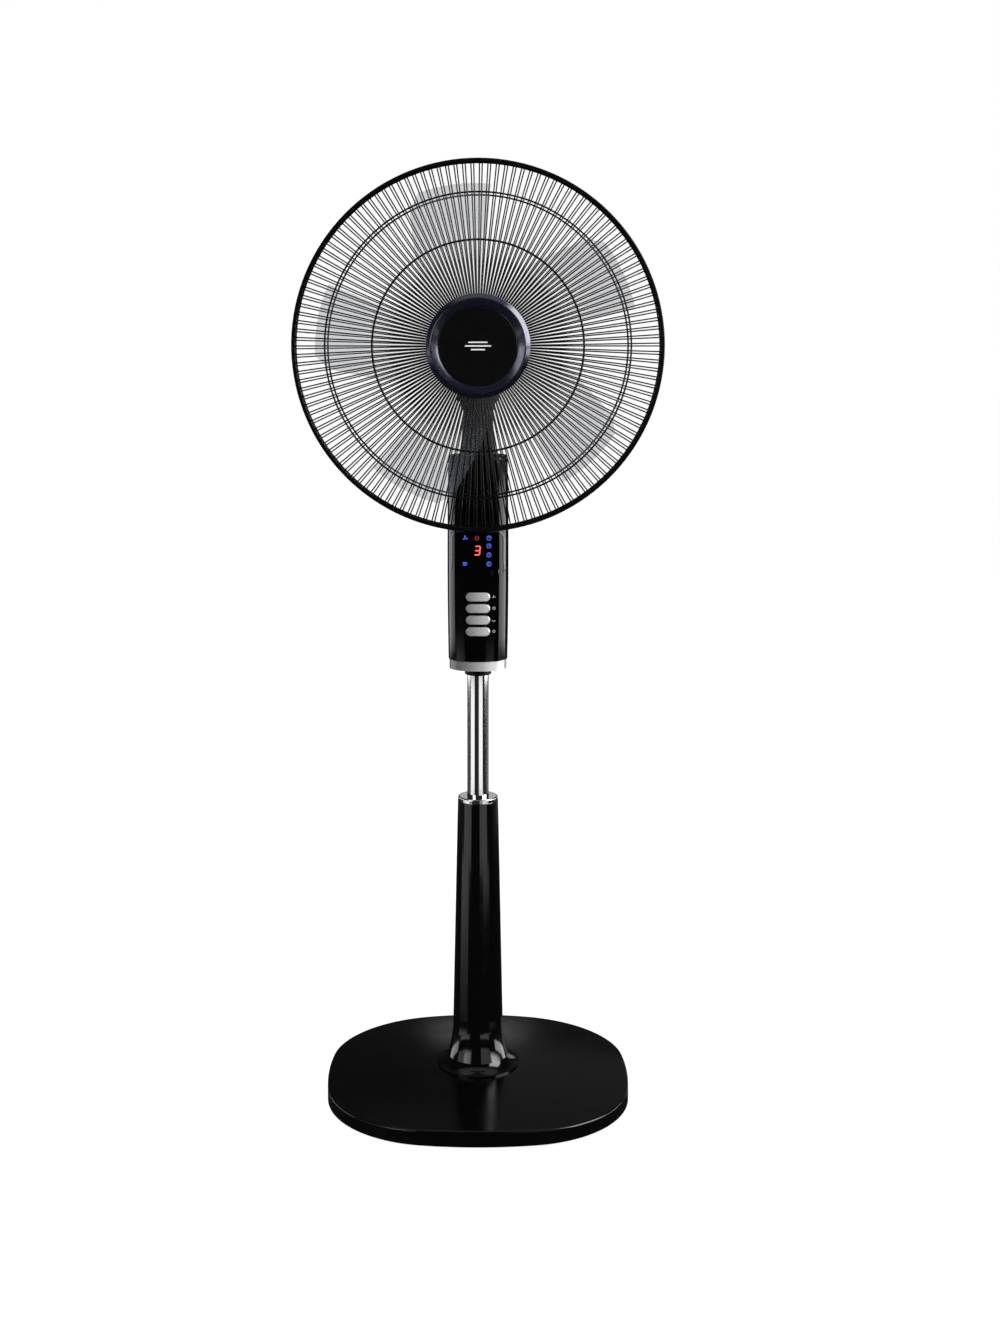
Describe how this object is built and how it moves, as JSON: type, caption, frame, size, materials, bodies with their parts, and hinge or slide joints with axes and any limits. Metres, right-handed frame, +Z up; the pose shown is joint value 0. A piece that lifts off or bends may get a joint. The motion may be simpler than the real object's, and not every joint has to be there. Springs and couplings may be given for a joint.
{
  "type": "pedestal fan",
  "caption": "Free-standing pedestal fan: round wire-guarded swinging head with a clear swept blade, slim button housing, chrome telescopic pole, tapered column and rounded base.",
  "frame": {"origin": "on the floor, under the middle of the base", "axes": "+Z up, the fan blows towards -Y, +X to the right seen from the front"},
  "size_m": [0.4399, 0.357, 1.158],
  "materials": {
    "gloss_black": "high gloss black ABS",
    "satin_black": "satin black plastic",
    "rubber_black": "soft black rubber",
    "ballast_iron": "rough cast",
    "tube_steel": "black coated steel",
    "fastener_steel": "zinc plated",
    "bright_chrome": "polished",
    "silver_plastic": "silver plated plastic",
    "bush_white": "natural acetal",
    "smoked_window": "smoked acrylic, polished",
    "board_green": "solder mask",
    "lamp_block": "dark moulding",
    "wire_black": "black coated wire",
    "plate_black": "black coated steel",
    "motor_steel": "plain grey",
    "winding_copper": "enamelled copper wire",
    "bearing_bronze": "sintered bronze",
    "blade_clear": "translucent pale blue-grey plastic",
    "nut_black": "black plastic"
  },
  "bodies": {
    "stand": {"base_shell": "gloss_black", "rubber_feet": "rubber_black", "ballast_plate": "ballast_iron", "column_bolts": "fastener_steel", "outer_tube": "tube_steel", "column_cover": "gloss_black", "column_collar": "bright_chrome", "guide_bush": "bush_white"},
    "lock": {"lock_knob": "satin_black", "lock_screw": "fastener_steel"},
    "mast": {"inner_pole": "bright_chrome", "pole_stop": "satin_black", "pole_socket": "satin_black", "support_fork": "tube_steel", "housing_front_shell": "gloss_black", "housing_rear_shell": "gloss_black", "trim_band": "silver_plastic", "display_window": "smoked_window", "display_bezel": "silver_plastic", "control_board": "board_green", "display_module": "lamp_block", "tact_switches": "lamp_block", "run_capacitor": "lamp_block", "cord_gland": "satin_black", "housing_screws": "fastener_steel", "tilt_bolt": "fastener_steel", "tilt_nut": "fastener_steel"},
    "power": {"power_button": "silver_plastic"},
    "swing": {"swing_button": "silver_plastic"},
    "timer": {"timer_button": "silver_plastic"},
    "speed": {"speed_button": "silver_plastic"},
    "tilting_neck": {"neck": "satin_black", "swing_post": "tube_steel"},
    "head": {"swing_bracket": "tube_steel", "swing_bush": "bearing_bronze", "swing_motor": "motor_steel", "motor_front_bell": "motor_steel", "motor_rear_bell": "motor_steel", "shaft_bearings": "bearing_bronze", "stator_core": "motor_steel", "stator_windings": "winding_copper", "motor_rear_cover": "satin_black", "motor_front_cover": "satin_black", "rear_guard_wires": "wire_black", "rear_guard_rings": "wire_black", "rear_guard_plate": "plate_black", "guard_nut": "satin_black", "front_guard_wires": "wire_black", "front_guard_rings": "wire_black", "front_guard_plate": "plate_black", "guard_rim": "satin_black", "badge_ring": "gloss_black", "badge_disc": "satin_black"},
    "crank": {"swing_crank": "bush_white"},
    "link": {"swing_link": "bush_white"},
    "impeller": {"rotor": "motor_steel", "motor_shaft": "fastener_steel", "drive_pin": "fastener_steel", "fan_blade": "blade_clear", "blade_nut": "nut_black"}
  },
  "joints": [
    {"name": "height_slide", "type": "slide", "parent": "stand", "child": "mast", "axis": [0, 0, 1], "range_m": [-0.145, 0.098]},
    {"name": "lock_turn", "type": "hinge", "parent": "stand", "child": "lock", "pos_m": [0, 0.03, 0.344], "axis": [0, 1, 0], "range_deg": [0, 360]},
    {"name": "power_press", "type": "slide", "parent": "mast", "child": "power", "axis": [0, 1, 0], "range_m": [0, 0.0012], "stiffness_N_per_m": 600, "springref_m": -0.0004},
    {"name": "swing_press", "type": "slide", "parent": "mast", "child": "swing", "axis": [0, 1, 0], "range_m": [0, 0.0012], "stiffness_N_per_m": 600, "springref_m": -0.0004},
    {"name": "timer_press", "type": "slide", "parent": "mast", "child": "timer", "axis": [0, 1, 0], "range_m": [0, 0.0012], "stiffness_N_per_m": 600, "springref_m": -0.0004},
    {"name": "speed_press", "type": "slide", "parent": "mast", "child": "speed", "axis": [0, 1, 0], "range_m": [0, 0.0012], "stiffness_N_per_m": 600, "springref_m": -0.0004},
    {"name": "head_tilt", "type": "hinge", "parent": "mast", "child": "tilting_neck", "pos_m": [0, 0, 0.788], "axis": [1, 0, 0], "range_deg": [-20, 10]},
    {"name": "head_swing", "type": "hinge", "parent": "tilting_neck", "child": "head", "pos_m": [0, 0, 0.87], "axis": [0, 0, 1], "range_deg": [-40, 40]},
    {"name": "crank_turn", "type": "hinge", "parent": "head", "child": "crank", "pos_m": [0.007, 0.058, 0.883], "axis": [0, 0, 1], "range_deg": [-90.5, 90.5]},
    {"name": "link_turn", "type": "hinge", "parent": "crank", "child": "link", "pos_m": [0.016, 0.058, 0.88], "axis": [0, 0, 1], "range_deg": [-90.5, 90.5]},
    {"name": "blade_spin", "type": "hinge", "parent": "head", "child": "impeller", "pos_m": [0, -0.1, 0.938], "axis": [0, 1, 0], "continuous": true}
  ],
  "couplings": [
    {"joint": "crank_turn", "follows": "head_swing", "ratio": -2.25},
    {"joint": "link_turn", "follows": "head_swing", "ratio": 2.25}
  ]
}
